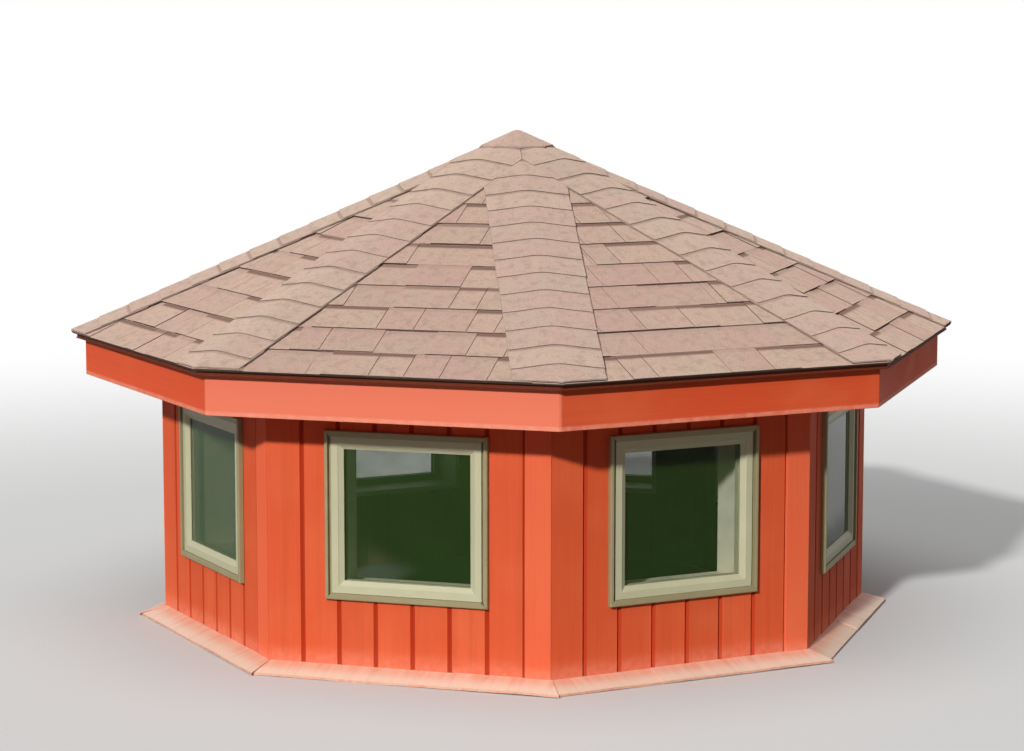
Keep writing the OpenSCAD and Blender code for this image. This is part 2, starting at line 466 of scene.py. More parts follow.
def take_in(bm, other):
    """Adds the geometry of another bmesh, which is used up."""
    carrier = bpy.data.meshes.new("carrier")
    other.to_mesh(carrier)
    other.free()
    bm.from_mesh(carrier)
    bpy.data.meshes.remove(carrier)


def keep_ring(name, sections, round_by, seed, slot, finish, stands_for, segments=1):
    """A level octagon of mitred bars, one bar on every side for each section."""
    bm = bmesh.new()
    for section in sections:
        ring_bar(bm, section)
    if round_by:
        ease(bm, round_by, segments=segments)
    lay(bm)
    all_round(bm)
    print(name, tones(bm, seed))
    keep(name, bm, slot, finish, stands_for)


print("helpers ready")

# %% [markdown]
# ## Red paint on wood
# The boards are sawn wood under a satin red paint. The grain runs along each board and shows
# faintly through the paint. Sun has faded the paint in soft patches, every board took the paint a
# little differently, and rain has left faint vertical streaks. Each of these is one noise on the
# flat map, stretched as the real mark is. Splash wear has paled the feet of the boards, and the
# fascia's lower edge is painted paler. Its front board has a painted sheen, where the lamp falls.
# The V between two boards carries a joint mark, where the paint is darkened as dirt and painted shade.

# %% Red paint
FADED_RED = (0.84, 0.20, 0.08, 1)
WORN_RED = (0.90, 0.38, 0.26, 1)
JOINT_DIRT_AND_SHADE_RED = (0.44, 0.025, 0.003, 1)


def red_paint(name, colour, upright, paler_heights, streaks=1.0, painted_front_sheen=None):
    """Paint on boards whose grain runs up (upright) or along. It is painted paler between two heights.
    """
    paint = Finish(name, Specular_IOR_Level=0.12, Diffuse_Roughness=0.2)
    where = paint.laid()
    joint = paint.mark("joint")
    along, across = (2.0, 90.0) if upright else (90.0, 2.0)
    grain = paint.noise(paint.stretch(where, along, across), 1.0, 5.0, 0.6)
    fading = paint.noise(where, 3.2, 3.0, 0.5)
    along, across = (0.7, 24.0) if upright else (24.0, 0.7)
    running = paint.noise(paint.stretch(where, along, across), 1.0, 2.0, 0.5)
    base = paint.mix(paint.tone(), shade(colour, 0.93), shade(colour, 1.05))
    faded = paint.mix(paint.between(fading, 0.40, 0.72) * 0.30, base, FADED_RED)
    streak_share = paint.between(running, 0.50, 0.75) * (0.30 * streaks)
    streaked = paint.mix(streak_share, faded, shade(colour, 0.72))
    grained = paint.mix(paint.between(grain, 0.35, 0.75) * 0.16, streaked, shade(colour, 0.66))
    height = paint.flat("Y")
    low_band = paint.between(height, paler_heights[0], paler_heights[1]) * paint.between(height, 0.0, 0.02)
    # The fascia's front board, which faces the lamp, is painted paler as a painted sheen.
    if painted_front_sheen:
        y = paint.split(paint.place())[1]
        front_board = paint.between(y, 0.007 - FASCIA_R, 0.003 - FASCIA_R)
        grained = paint.mix(front_board, grained, painted_front_sheen)
        low_band = low_band * 1.6
    specks = paint.between(paint.noise(where, 34.0, 2.0, 0.6), 0.30, 0.72)
    grained = paint.mix(low_band * (specks * 0.20 + 0.20), grained, WORN_RED)
    # The V's faces are darkened as dirt and painted shade.
    joint_dirt_and_shade = paint.mix(joint * 0.75, grained, JOINT_DIRT_AND_SHADE_RED)
    paint.surface(
        Base_Color=joint_dirt_and_shade,
        Roughness=paint.between(fading, 0.3, 0.7, 0.58, 0.72),
        Normal=paint.bump(grain, 0.0007, 0.5),
    )
    return paint


wall_paint = red_paint(
    "red_board_paint", (0.73, 0.108, 0.036), upright=True, paler_heights=(0.110, SILL_H)
)
corner_paint = red_paint(
    "red_corner_paint", (0.88, 0.150, 0.060), upright=True, paler_heights=(0.090, SILL_H), streaks=0.4
)
eave_paint = red_paint(
    "red_eave_paint", (0.76, 0.095, 0.030), upright=False,
    paler_heights=(FASCIA_Z + 0.019, FASCIA_Z + 0.011), streaks=0.6, painted_front_sheen=(0.84, 0.205, 0.115, 1),
)
print("red paints ready")

# %% [markdown]
# ## Smooth paints for the windows and the lining
# Casings, sashes and jambs have finer, brushed coats. The shaft's boards are dark, as painted shade.
# A faint brush texture and a thin veil of dust keep them from looking like plastic.

# %% Smooth paints
def smooth_paint(name, colour, dust, roughness=0.5):
    paint = Finish(name, Specular_IOR_Level=0.4, Roughness=roughness)
    where = paint.laid()
    brush = paint.noise(paint.stretch(where, 6.0, 160.0), 1.0, 3.0)
    cloud = paint.noise(where, 9.0, 4.0, 0.6)
    dusty = paint.mix(paint.between(cloud, 0.42, 0.78) * 0.5, shade(colour, 1.0), dust)
    toned = paint.mix(paint.tone() * 0.12, dusty, shade(colour, 0.8))
    paint.surface(Base_Color=toned, Normal=paint.bump(brush + cloud, 0.0004, 0.4))
    return paint


casing_paint = smooth_paint("tan_casing_paint", (0.32, 0.27, 0.14), (0.41, 0.35, 0.20, 1))
sash_paint = smooth_paint("pale_sash_paint", (0.52, 0.50, 0.32), (0.60, 0.56, 0.38, 1), 0.45)
jamb_paint = smooth_paint("cream_jamb_paint", (0.90, 0.87, 0.66), (0.84, 0.80, 0.60, 1))
# The lining's dark colour is painted shade of the dim shaft.
lining_stain = smooth_paint("dark_lining_shade_paint", (0.13, 0.09, 0.058), (0.17, 0.13, 0.09, 1), 0.65)
print("smooth paints ready")

# %% [markdown]
# ## Bare timber
# Sill, plate, rafters and deck are sawn softwood. Dark and pale growth rings run along the wood as
# long thin lines, and a noise that is stretched along the wood gives them. A slower noise gives
# the darker patches, and a fine one the saw marks.

# %% Bare timber
def timber(name, colour, dark, where=None):
    wood = Finish(name, Specular_IOR_Level=0.25, Roughness=0.75)
    where = wood.laid() if where is None else where(wood)
    patches = wood.noise(wood.stretch(where, 3.0, 9.0, 9.0), 1.0, 3.0)
    rings = wood.noise(wood.stretch(where, 1.4, 70.0, 70.0), 1.0, 4.0, 0.5)
    saw = wood.noise(wood.stretch(where, 260.0, 30.0, 30.0), 1.0, 2.0)
    body = wood.mix(wood.between(rings, 0.38, 0.66), shade(colour, 1.0), dark)
    body = wood.mix(wood.between(patches, 0.4, 0.7) * 0.35, body, shade(colour, 0.78))
    wood.surface(Base_Color=body, Normal=wood.bump(rings + saw * 0.4, 0.0006, 0.5))
    return wood


def along_hips(wood):
    """Coordinates for the hip rafters: Y runs up the rafter, X lies across it, and Z varies them."""
    x, y, z = wood.split(wood.place())
    out = (x * x + y * y) ** 0.5
    up = z * math.sin(HIP_RISE) - out * math.cos(HIP_RISE)
    across = z * math.cos(HIP_RISE) + out * math.sin(HIP_RISE)
    return wood.node("ShaderNodeCombineXYZ", sockets={0: across, 1: up, 2: x * y})


def along_deck(wood):
    """Coordinates for the deck: its boards run level, so X goes up the slope, and Y and Z lie level."""
    x, y, z = wood.split(wood.place())
    return wood.node("ShaderNodeCombineXYZ", sockets={0: z * 2.2, 1: (x + y) * 0.7, 2: (x - y) * 0.02})


PINE = (0.56, 0.41, 0.25)
PINE_DARK = (0.40, 0.26, 0.14, 1)
timber_finish = timber("sawn_timber", PINE, PINE_DARK)
rafter_finish = timber("rafter_timber", PINE, PINE_DARK, along_hips)
deck_finish = timber("deck_timber", (0.58, 0.45, 0.30), (0.44, 0.31, 0.19, 1), along_deck)
print("timbers ready")

# %% [markdown]
# ## Sheet metal
# The flashing is thin sheet with a faded coral paint. Close to the wall a deeper coral is laid on
# as a painted reflection of the red boards. It is never quite flat, so a slow noise bends the light
# on it, and dust has run down it. The drip edge is the same sort of sheet in red-brown.

# %% Sheet metal
def sheet_metal(name, colour, stain, roughness, gloss=0.3, wall_reflection=None):
    metal = Finish(name, Specular_IOR_Level=gloss)
    where = metal.laid()
    waves = metal.noise(metal.stretch(where, 4.0, 7.0), 1.0, 2.0)
    runs = metal.noise(metal.stretch(where, 3.0, 40.0), 1.0, 4.0, 0.6)
    specks = metal.noise(where, 60.0, 3.0)
    tinted = metal.mix(metal.between(runs, 0.48, 0.72) * 0.45, shade(colour, 1.0), stain)
    # Near the wall the sheet is painted deeper coral, a painted reflection of the red boards.
    if wall_reflection:
        near_wall = metal.between(metal.flat("Y"), 0.016 - FLASHING_R, -0.015 - BOARD_R)
        reflected_share = near_wall * metal.between(runs, 0.25, 0.75, 0.45, 1.0)
        tinted = metal.mix(reflected_share, tinted, wall_reflection)
    speckled = metal.mix(metal.between(specks, 0.60, 0.75) * 0.25, tinted, stain)
    metal.surface(
        Base_Color=speckled,
        Roughness=metal.between(runs, 0.3, 0.7, roughness, roughness + 0.18),
        Normal=metal.bump(waves, 0.004, 0.35),
    )
    return metal


flashing_finish = sheet_metal(
    "coral_flashing", (0.88, 0.65, 0.50), (0.72, 0.53, 0.41, 1), roughness=0.42,
    wall_reflection=(0.82, 0.34, 0.22, 1),
)
drip_finish = sheet_metal(
    "brown_drip_edge", (0.145, 0.030, 0.012), (0.19, 0.05, 0.028, 1), roughness=0.55, gloss=0.1
)
print("sheet metals ready")

# %% [markdown]
# ## Mineral granules
# Asphalt shingles are covered with crushed stone in several colours. Voronoi cells about two
# millimetres wide make the stones, and a slower noise makes the blotches of the blend. Each tab's
# tone moves it between rose and tan, and a wide cloud greys it. Rough stones look about as bright
# at a slant as from the front, so the diffuse roughness is at its full value. A brown band lies
# under each butt: on the shingles it is their printed shadow line, on the caps dust and painted
# shade. On the caps it is bowed as they are, and the bow falls to nothing at a cap's edge, 152 mm
# from the hip, which BOW_FALL gives. The faces where a shingle was cut carry the joint mark,
# because dark asphalt shows there.

# %% Granules
STONES_PER_METRE = 420.0
BUTT_PRINT_AND_SHADE = (0.20, 0.115, 0.088, 1)
BOW_FALL = 43.0


def granules(name, colour, rose, grey, course, band, band_depth=1.0, cut_depth=0.9, arch=0.0):
    stone = Finish(name, Specular_IOR_Level=0.1, Roughness=0.93, Diffuse_Roughness=1.0)
    where = stone.laid()
    across, up = stone.flat("X"), stone.flat("Y")
    bowed = (up + (1 - across * across * BOW_FALL) * arch) * (1 / course)
    in_course = bowed - bowed.maths("FLOOR", bowed, 0.0)
    under_butt = stone.between(in_course, 1 - band * 2.2, 1 - band)
    stones = {"Vector": where, "Scale": STONES_PER_METRE}
    cells = stone.node("ShaderNodeTexVoronoi", sockets=stones, output="Color")
    pick = stone.node("ShaderNodeSeparateColor", sockets={0: cells})
    depth = stone.node("ShaderNodeTexVoronoi", sockets=stones)
    blotch = stone.noise(where, 26.0, 4.0, 0.65)
    cloud = stone.noise(where, 5.0, 2.0)
    tab = stone.mix(stone.between(stone.tone(), 0.15, 0.95), rose, shade(colour, 1.06))
    tab = stone.mix(stone.between(cloud, 0.42, 0.70) * 0.55, tab, grey)
    tab = stone.mix(stone.between(blotch, 0.46, 0.70) * 0.65, tab, shade(colour, 0.71))
    tab = stone.mix(stone.between(pick, 0.62, 0.95) * 0.35, tab, shade(colour, 0.55))
    tab = stone.mix(stone.between(pick, 0.30, 0.05) * 0.30, tab, shade(colour, 1.35))
    weight = stone.between(stone.tone(), 0.35, 0.65, 0.15, 1.0) * band_depth
    # The band under each butt: printed shadow line on the shingles, dust and painted shade on the caps.
    tab = stone.mix(under_butt * weight, tab, BUTT_PRINT_AND_SHADE)
    tab = stone.mix(stone.mark("joint") * cut_depth, tab, shade(colour, 0.14))
    stone.surface(Base_Color=tab, Normal=stone.bump(depth + blotch * 0.6, 0.0008, 0.7))
    return stone


EXPOSURE = 0.1432
CAP_EXPOSURE = 0.121
CAP_ARCH = 0.007
shingle_finish = granules(
    "roof_granules", (0.46, 0.326, 0.256), (0.463, 0.304, 0.251, 1), (0.43, 0.345, 0.258, 1),
    EXPOSURE, band=0.085,
)
cap_finish = granules(
    "cap_granules", (0.475, 0.349, 0.278), (0.484, 0.334, 0.278, 1), (0.45, 0.367, 0.280, 1),
    CAP_EXPOSURE, band=0.06, band_depth=0.45, cut_depth=0.6, arch=CAP_ARCH,
)
print("granules ready")

# %% [markdown]
# ## Glass
# The panes look dark green from outside, because the shaft behind them is dim. The pale jamb
# boards still show through. A part-clear pane with a gloss does both. Its dark green is a tint
# and a painted reflection of green surroundings, and a slow noise makes that painted reflection
# patchy and keeps the mirror image from being perfectly flat. At a slant glass mirrors more and
# shows less of what is behind it, so Layer Weight lays more of the painted reflection on there.
# It casts no shadow, because light passes through it onto the jambs.

# %% Glass
pane_glass = Finish(
    "green_pane_glass", Base_Color=(0.034, 0.080, 0.014, 1), Roughness=0.04, IOR=1.5,
    Specular_IOR_Level=0.15,
)
THIN_VEIL, THICK_VEIL = 0.13, 0.19
SLANT_VEIL = 1.3
ripple_and_reflection_patches = pane_glass.noise(pane_glass.laid(), 7.0, 3.0)
sunlight = pane_glass.node("ShaderNodeLightPath", output="Is Shadow Ray")
slant = pane_glass.node("ShaderNodeLayerWeight", sockets={"Blend": 0.5}, output="Facing")
# The pane's cover is its tint and painted reflection, patchy by the noise and heavier at a slant.
veil = pane_glass.between(ripple_and_reflection_patches, 0.3, 0.8, THIN_VEIL, THICK_VEIL) + slant ** 3 * SLANT_VEIL
pane_glass.surface(
    Alpha=veil * (1 - sunlight),
    Normal=pane_glass.bump(ripple_and_reflection_patches, 0.0015, 0.25),
)
pane_glass.material.surface_render_method = "BLENDED"
print("glass ready")

# %% [markdown]
# ## Boarded walls
# Each wall is clad with upright boards that meet in small V joints. A board can be drawn as a flat
# strip: the whole wall face starts as one rectangle, planes cut it at the joints and at the
# window, and every strip is then pushed back to its thickness. The long front edges are planed
# off, so that two neighbours make a V, and its faces carry the joint mark. A second, plain layer
# behind the boards is the framed wall.

# %% Boarded panel
def boarded_panel(face_r, back_r, left, right, low, high, seams, groove):
    """Boards from low to high round a window opening, with a joint at each seam."""
    bm = bmesh.new()
    corners = [(left, low), (right, low), (right, high), (left, high)]
    polygon(bm, [(x, -face_r, z) for x, z in corners])
    for x in seams:
        cut_at(bm, (x, 0, 0), (1, 0, 0))
    joints = [edge for edge in bm.edges if not edge.is_boundary]
    bmesh.ops.split_edges(bm, edges=joints)
    for x in (-OPENING_HALF, OPENING_HALF):
        cut_at(bm, (x, 0, 0), (1, 0, 0))
    for z in (WINDOW_Z - OPENING_HALF, WINDOW_Z + OPENING_HALF):
        cut_at(bm, (0, 0, z), (0, 0, 1))
    inside = []
    for face in bm.faces:
        middle = face.calc_center_median()
        if abs(middle.x) < OPENING_HALF and abs(middle.z - WINDOW_Z) < OPENING_HALF:
            inside.append(face)
    bmesh.ops.delete(bm, geom=inside, context="FACES")
    bmesh.ops.dissolve_limit(bm, angle_limit=0.01, verts=bm.verts, edges=bm.edges)
    for vert in grow(bm, bm.faces[:]):
        if abs(abs(vert.co.x) - face_r * MITRE) < 1e-5:
            vert.co.x *= back_r / face_r
        vert.co.y = -back_r
    if groove > 0:
        long_edges = []
        for edge in bm.edges:
            a, b = (vert.co for vert in edge.verts)
            upright = abs(a.x - b.x) < 1e-6 and abs(a.y - b.y) < 1e-6
            at_joint = any(abs(a.x - x) < 1e-5 for x in seams + [right])
            if upright and at_joint and abs(a.y + face_r) < 1e-6:
                long_edges.append(edge)
        joint = bm.faces.layers.float.new("joint")
        made = bmesh.ops.bevel(
            bm, geom=long_edges, offset=groove, segments=1, profile=0.5, affect="EDGES", material=-1
        )
        for face in made["faces"]:
            face[joint] = 1.0
    return bm


BOARD_W = 0.132
V_WIDTH = 0.0085
seams = [CORNER_EDGE - BOARD_W * i for i in range(1, 7)]
for side, side_name in enumerate(SIDES):
    bm = boarded_panel(
        BOARD_R, RECESS_R, -BOARD_R * MITRE, CORNER_EDGE, SILL_H, WALL_TOP, seams, V_WIDTH
    )
    frame_layer = boarded_panel(
        RECESS_R, WALL_IN_R, -RECESS_R * MITRE, RECESS_R * MITRE, SILL_H, WALL_TOP, [], groove=0
    )
    take_in(bm, frame_layer)
    lay(bm)
    turn_to(bm, side)
    count = tones(bm, seed=153 + side)
    keep("boards_" + side_name, bm, "wall_paint", wall_paint, "wall_" + side_name)
print("walls with", count - 1, "board pieces each")

# %% [markdown]
# ## Corner boards
# A plain board closes the right end of each wall, let in beside the last full board. Its section
# has a mitre at the corner. The section is drawn once and pulled up to the soffit.

# %% Corner boards
bm = bmesh.new()
section = [
    (CORNER_EDGE, -CORNER_R, SILL_H), (CORNER_R * MITRE, -CORNER_R, SILL_H),
    (RECESS_R * MITRE, -RECESS_R, SILL_H), (CORNER_EDGE, -RECESS_R, SILL_H),
]
top = grow(bm, [polygon(bm, section)])
bmesh.ops.translate(bm, verts=top, vec=(0, 0, SOFFIT_Z - SILL_H))
ease(bm, 0.0018, segments=2)
lay(bm)
all_round(bm)
print("corner boards", tones(bm, seed=7))
keep("corner_trim", bm, "corner_paint", corner_paint, "corner_boards")

# %% [markdown]
# ## Window casings
# A square tan casing frames each window over the boards. Its bars meet in mitres. The side bars
# have a dark joint along their inner edge where the window unit sits, so they need a section of
# their own: a bar is drawn for the bottom, then turned about the window's middle.

# %% Window casings
def turned_bar(section, quarter):
    """A casing bar, turned by so many quarters about the window's middle."""
    bm = bmesh.new()
    window_bar(bm, section)
    ease(bm, 0.0012)
    lay(bm)
    turn = Matrix.Rotation(quarter * math.pi / 2, 3, "Y")
    bmesh.ops.rotate(bm, verts=bm.verts, cent=(0, -BOARD_R, WINDOW_Z), matrix=turn)
    return bm


CHAMFER = 0.003
JOINT_HALF = OPENING_HALF + 0.009
JOINT_FOOT_R = CASING_FACE_R - 0.016
outside = [
    (WINDOW_HALF, BOARD_R), (WINDOW_HALF, CASING_FACE_R - CHAMFER),
    (WINDOW_HALF - CHAMFER, CASING_FACE_R),
]
plain = outside + [(OPENING_HALF, CASING_FACE_R), (OPENING_HALF, BOARD_R)]
joined = outside + [
    (JOINT_HALF, CASING_FACE_R), (JOINT_HALF, JOINT_FOOT_R),
    (OPENING_HALF, JOINT_FOOT_R), (OPENING_HALF, BOARD_R),
]
bm = bmesh.new()
for quarter in range(4):
    take_in(bm, turned_bar(joined if quarter % 2 else plain, quarter))
all_round(bm)
print("casing bars", tones(bm, seed=11))
keep("casing_bars", bm, "casing_paint", casing_paint, "window_casings")

# %% [markdown]
# ## Sashes and panes
# The sash is a pale square frame a little behind the casing's face. Its front slopes down to the
# glass, as a glazing bead does. The unit has two panes with a spacer bar between them at the edge.

# %% Sashes and panes
SASH_HALF = OPENING_HALF - 0.001
SIGHT_HALF = SASH_HALF - 0.042
PANE_FRONT_R = SASH_FACE_R - 0.014
PANE_BACK_R = PANE_FRONT_R - 0.018
PANE_HALF = SIGHT_HALF + 0.010
PANE_T = 0.004
FLAT_HALF = SASH_HALF - 0.024
BEAD_EDGE = 0.002
SPACER_OUT, SPACER_IN = PANE_HALF - 0.001, SIGHT_HALF + 0.003
sash_section = [
    (SASH_HALF, SASH_BACK_R), (SASH_HALF, SASH_FACE_R), (FLAT_HALF, SASH_FACE_R),
    (FLAT_HALF - CHAMFER, SASH_FACE_R - CHAMFER), (SIGHT_HALF, PANE_FRONT_R + BEAD_EDGE),
    (SIGHT_HALF, PANE_FRONT_R), (PANE_HALF, PANE_FRONT_R), (PANE_HALF, PANE_BACK_R),
    (SIGHT_HALF, PANE_BACK_R), (SIGHT_HALF, SASH_BACK_R),
]
spacer_section = [
    (SPACER_OUT, PANE_FRONT_R - PANE_T), (SPACER_OUT, PANE_BACK_R + PANE_T),
    (SPACER_IN, PANE_BACK_R + PANE_T), (SPACER_IN, PANE_FRONT_R - PANE_T),
]


def square_frame(section):
    bm = bmesh.new()
    window_bar(bm, section)
    lay(bm)
    four_round(bm)
    return bm


for side, side_name in enumerate(SIDES):
    bm = square_frame(sash_section)
    take_in(bm, square_frame(spacer_section))
    turn_to(bm, side)
    tones(bm, seed=200 + side)
    keep("sash_bars_" + side_name, bm, "sash_paint", sash_paint, "sash_" + side_name)

    bm = bmesh.new()
    for front_r in (PANE_FRONT_R, PANE_BACK_R + PANE_T):
        size = Matrix.Diagonal((2 * PANE_HALF, PANE_T, 2 * PANE_HALF, 1))
        middle = Matrix.Translation((0, -front_r + PANE_T / 2, WINDOW_Z))
        bmesh.ops.create_cube(bm, size=1, matrix=middle @ size)
    ease(bm, 0.0004)
    lay(bm)
    turn_to(bm, side)
    tones(bm, seed=300 + side)
    keep("panes_" + side_name, bm, "window_glass", pane_glass, "glass_" + side_name)
print("eight windows with two panes each")

# %% [markdown]
# ## Jamb liners and inner lining
# Pale boards line each opening from the sash to the inner face, and boards painted dark, as
# painted shade of the dim shaft, line the shaft. Both show through the glass. The lining is cut
# and pushed back as the walls are, only from the inside out.

# %% Jambs and lining
JAMB_HALF = OPENING_HALF - 0.018
jamb_section = [
    (OPENING_HALF, SASH_BACK_R), (OPENING_HALF, LINING_R),
    (JAMB_HALF, LINING_R), (JAMB_HALF, SASH_BACK_R),
]
bm = bmesh.new()
window_bar(bm, jamb_section)
ease(bm, 0.0010)
lay(bm)
four_round(bm)
all_round(bm)
print("jamb boards", tones(bm, seed=13))
keep("jamb_boards", bm, "jamb_paint", jamb_paint, "jamb_liners")

LINING_BOARD_W = 0.10
lining_seams = [LINING_BOARD_W * i - 0.35 for i in range(8)]
mitre_x = LINING_R * MITRE
bm = boarded_panel(
    LINING_R, WALL_IN_R, -mitre_x, mitre_x, 0.0, PLATE_TOP, lining_seams, groove=0.0025
)
lay(bm)
all_round(bm)
print("lining boards", tones(bm, seed=17))
keep("lining_boards", bm, "lining_stain", lining_stain, "inner_lining")

# %% [markdown]
# ## Sill and wall plate
# Eight timbers make a level ring under the walls, and eight more lie on top of them. Each is one
# mitred bar with its edges eased, so `keep_ring` makes them from their sections alone.

# %% Sill and plate
def level_timber(low, high):
    return [(WALL_IN_R, low), (BOARD_R, low), (BOARD_R, high), (WALL_IN_R, high)]


keep_ring(
    "sill_timbers", [level_timber(0.0, SILL_H)], 0.0015, 19, "timber", timber_finish, "sill"
)
keep_ring(
    "plate_timbers", [level_timber(WALL_TOP, PLATE_TOP)], 0.0015, 23,
    "timber", timber_finish, "wall_plate",
)

# %% [markdown]
# ## Base flashing
# Folded sheets shed water from the foot of the boards onto the roof. On each side two sheets
# overlap, and at each corner the end of one sheet runs a little past the mitre and over its
# neighbour as a pointed tip. The thin section is drawn at one end and pulled along. A few cuts
# and small lifts of the outer edge give it the unevenness of bent sheet.

# %% Base flashing
SHEET_T = 0.002
EDGE_H = 0.008
LAP_LIFT = 0.0022
LAP_STEP = 0.0015
LAP_W = 0.05
TIP_PAST, TIP_SLANT = 0.006, 0.14
EDGE_WAVE = 0.0016
RIPPLES = (9.0, 17.0, 31.0)


def flashing_sheet(bm, left_x, right_x, lift, draw):
    """One sheet between two ends, which are functions of r. The upper one of a lap is lifted."""
    rim = FLASHING_R - (0.0 if lift else LAP_STEP)
    section = [
        (BOARD_R, SILL_H), (rim, EDGE_H), (rim, 0.0), (rim - SHEET_T, 0.0),
        (rim - SHEET_T, EDGE_H - SHEET_T), (BOARD_R + SHEET_T, SILL_H - 2 * SHEET_T),
    ]
    sheet = bmesh.new()
    left_end = polygon(sheet, [(left_x(r), -r, z) for r, z in section])
    for vert in grow(sheet, [left_end]):
        vert.co.x = right_x(-vert.co.y)
    length = right_x(FLASHING_R) - left_x(FLASHING_R)
    for i in range(1, 8):
        cut_at(sheet, (left_x(FLASHING_R) + length * i / 8, 0, 0), (1, 0, 0))
    starts = [draw.uniform(0, 6.3) for _ in RIPPLES]
    for vert in sheet.verts:
        out = (-vert.co.y - BOARD_R) / (FLASHING_R - BOARD_R)
        wave = sum(math.sin(vert.co.x * k + s) for k, s in zip(RIPPLES, starts)) / 3
        vert.co.z += lift * (1 - 0.2 * out) + out * EDGE_WAVE * (1 + wave)
    take_in(bm, sheet)


def tip(r):
    """The right end of a side's upper sheet, which runs past the mitre and ends in a point."""
    return r * MITRE + TIP_PAST + TIP_SLANT * (r - BOARD_R)


bm = bmesh.new()
draw = random.Random(31)
for side in range(8):
    lap = 0.17 if side == 0 else draw.uniform(-0.25, 0.3)
    one_side = bmesh.new()
    flashing_sheet(one_side, lambda r: -r * MITRE, lambda r: lap + LAP_W, 0.0, draw)
    flashing_sheet(one_side, lambda r: lap, tip, LAP_LIFT, draw)
    lay(one_side)
    turn_to(one_side, side)
    take_in(bm, one_side)
print("flashing sheets", tones(bm, seed=37))
keep("flashing_sheets", bm, "flashing", flashing_finish, "base_flashing")

# %% [markdown]
# ## Soffit, fascia and drip edge
# Level boards close the eaves from below, an upright board faces them, and a red-brown metal strip
# hangs over the deck's edge with its foot kicked out. All three are mitred bars round the octagon.

# %% Soffit, fascia and drip edge
SOFFIT_ROWS = 4
SOFFIT_TOP = SOFFIT_Z + 0.012
ROW_W = (FASCIA_IN_R - BOARD_R) / SOFFIT_ROWS
rows = []
for row in range(SOFFIT_ROWS):
    inner, outer = BOARD_R + row * ROW_W, BOARD_R + (row + 1) * ROW_W
    rows.append([(inner, SOFFIT_Z), (outer, SOFFIT_Z), (outer, SOFFIT_TOP), (inner, SOFFIT_TOP)])
keep_ring("soffit_boards", rows, 0.0015, 41, "eave_paint", eave_paint, "soffit")

UNDER_DECK = SHINGLE_T + DECK_T
fascia_section = [
    (FASCIA_IN_R, FASCIA_Z), (FASCIA_R, FASCIA_Z),
    (FASCIA_R, slope_z(FASCIA_R, UNDER_DECK)), (FASCIA_IN_R, slope_z(FASCIA_IN_R, UNDER_DECK)),
]
keep_ring(
    "fascia_boards", [fascia_section], 0.0022, 43, "eave_paint", eave_paint, "fascia", segments=2
)

drip_top = slope_z(DECK_R, SHINGLE_T)
drip_section = [
    (DECK_R, drip_top), (DRIP_R, slope_z(DRIP_R, SHINGLE_T)), (DRIP_R, drip_top - 0.020),
    (DRIP_R + 0.004, drip_top - 0.025), (DRIP_R + 0.003, drip_top - 0.026),
    (DECK_R, drip_top - 0.021),
]
keep_ring("drip_strips", [drip_section], 0, 47, "drip_metal", drip_finish, "drip_edge")

# %% [markdown]
# ## Shingle courses
# Laminated shingles are laid from the eave up, 143 mm of each course in view. A course is a row of
# metre-long strips with thicker tabs of random width bonded on top, which gives the broken shadow
# lines. One slope is laid flat, where it is easy: x runs across, y up the slope and z out of it.
# Then both hips are cut, every thin cut face gets the joint mark, and the whole field is tilted
# to the pitch. A thin felt and a starter strip lie under it. Every slope has its own random rows.

# %% Shingle courses
SLOPE_LENGTH = EAVE_R / math.cos(PITCH)
TILT = math.radians(1.6)
SIDE_CUT = 0.45
WIDER = 0.7
STARTER_H = 0.140
FELT_TOP, FELT_T = -0.0085, 0.0012
STARTER_TOP, STARTER_T = -0.0062, 0.0036
STRIP_TOP, STRIP_T = -0.0032, 0.0030
STRIP_LENGTH, STRIP_GAP = 1.0, 0.002
TAB_T = 0.0034
TAB_WIDTHS = (0.10, 0.13, 0.16, 0.19, 0.23, 0.28)
TAB_SHARE = 0.66
TAB_GAP = 0.0025
tilt_up = Matrix.Translation((0, -EAVE_R, EAVE_Z)) @ Matrix.Rotation(PITCH, 4, "X")


def darken_cuts(bm):
    """Marks the thin cut faces of flat pieces, the butts fully and the sides less."""
    joint = bm.faces.layers.float.new("joint")
    for face in bm.faces:
        face.normal_update()
        across, along, out = (abs(v) for v in face.normal)
        if out <= 0.5:
            face[joint] = 1.0 if along > across else SIDE_CUT


def slab(bm, left, right, low, high, butt_top, thick, tilt=TILT):
    """A thin flat block whose lower edge has its top at the height butt_top."""
    length = high - low
    size = Matrix.Diagonal((right - left, length, thick, 1))
    place = Matrix.Translation(((left + right) / 2, low, butt_top))
    lean = Matrix.Rotation(-tilt, 4, "X") @ Matrix.Translation((0, length / 2, -thick / 2))
    bmesh.ops.create_cube(bm, size=1, matrix=place @ lean @ size)


def half_width(up):
    """Half the slope's width so far up from the eave, where the hips close in on it."""
    return (EAVE_R - up * math.cos(PITCH)) * MITRE


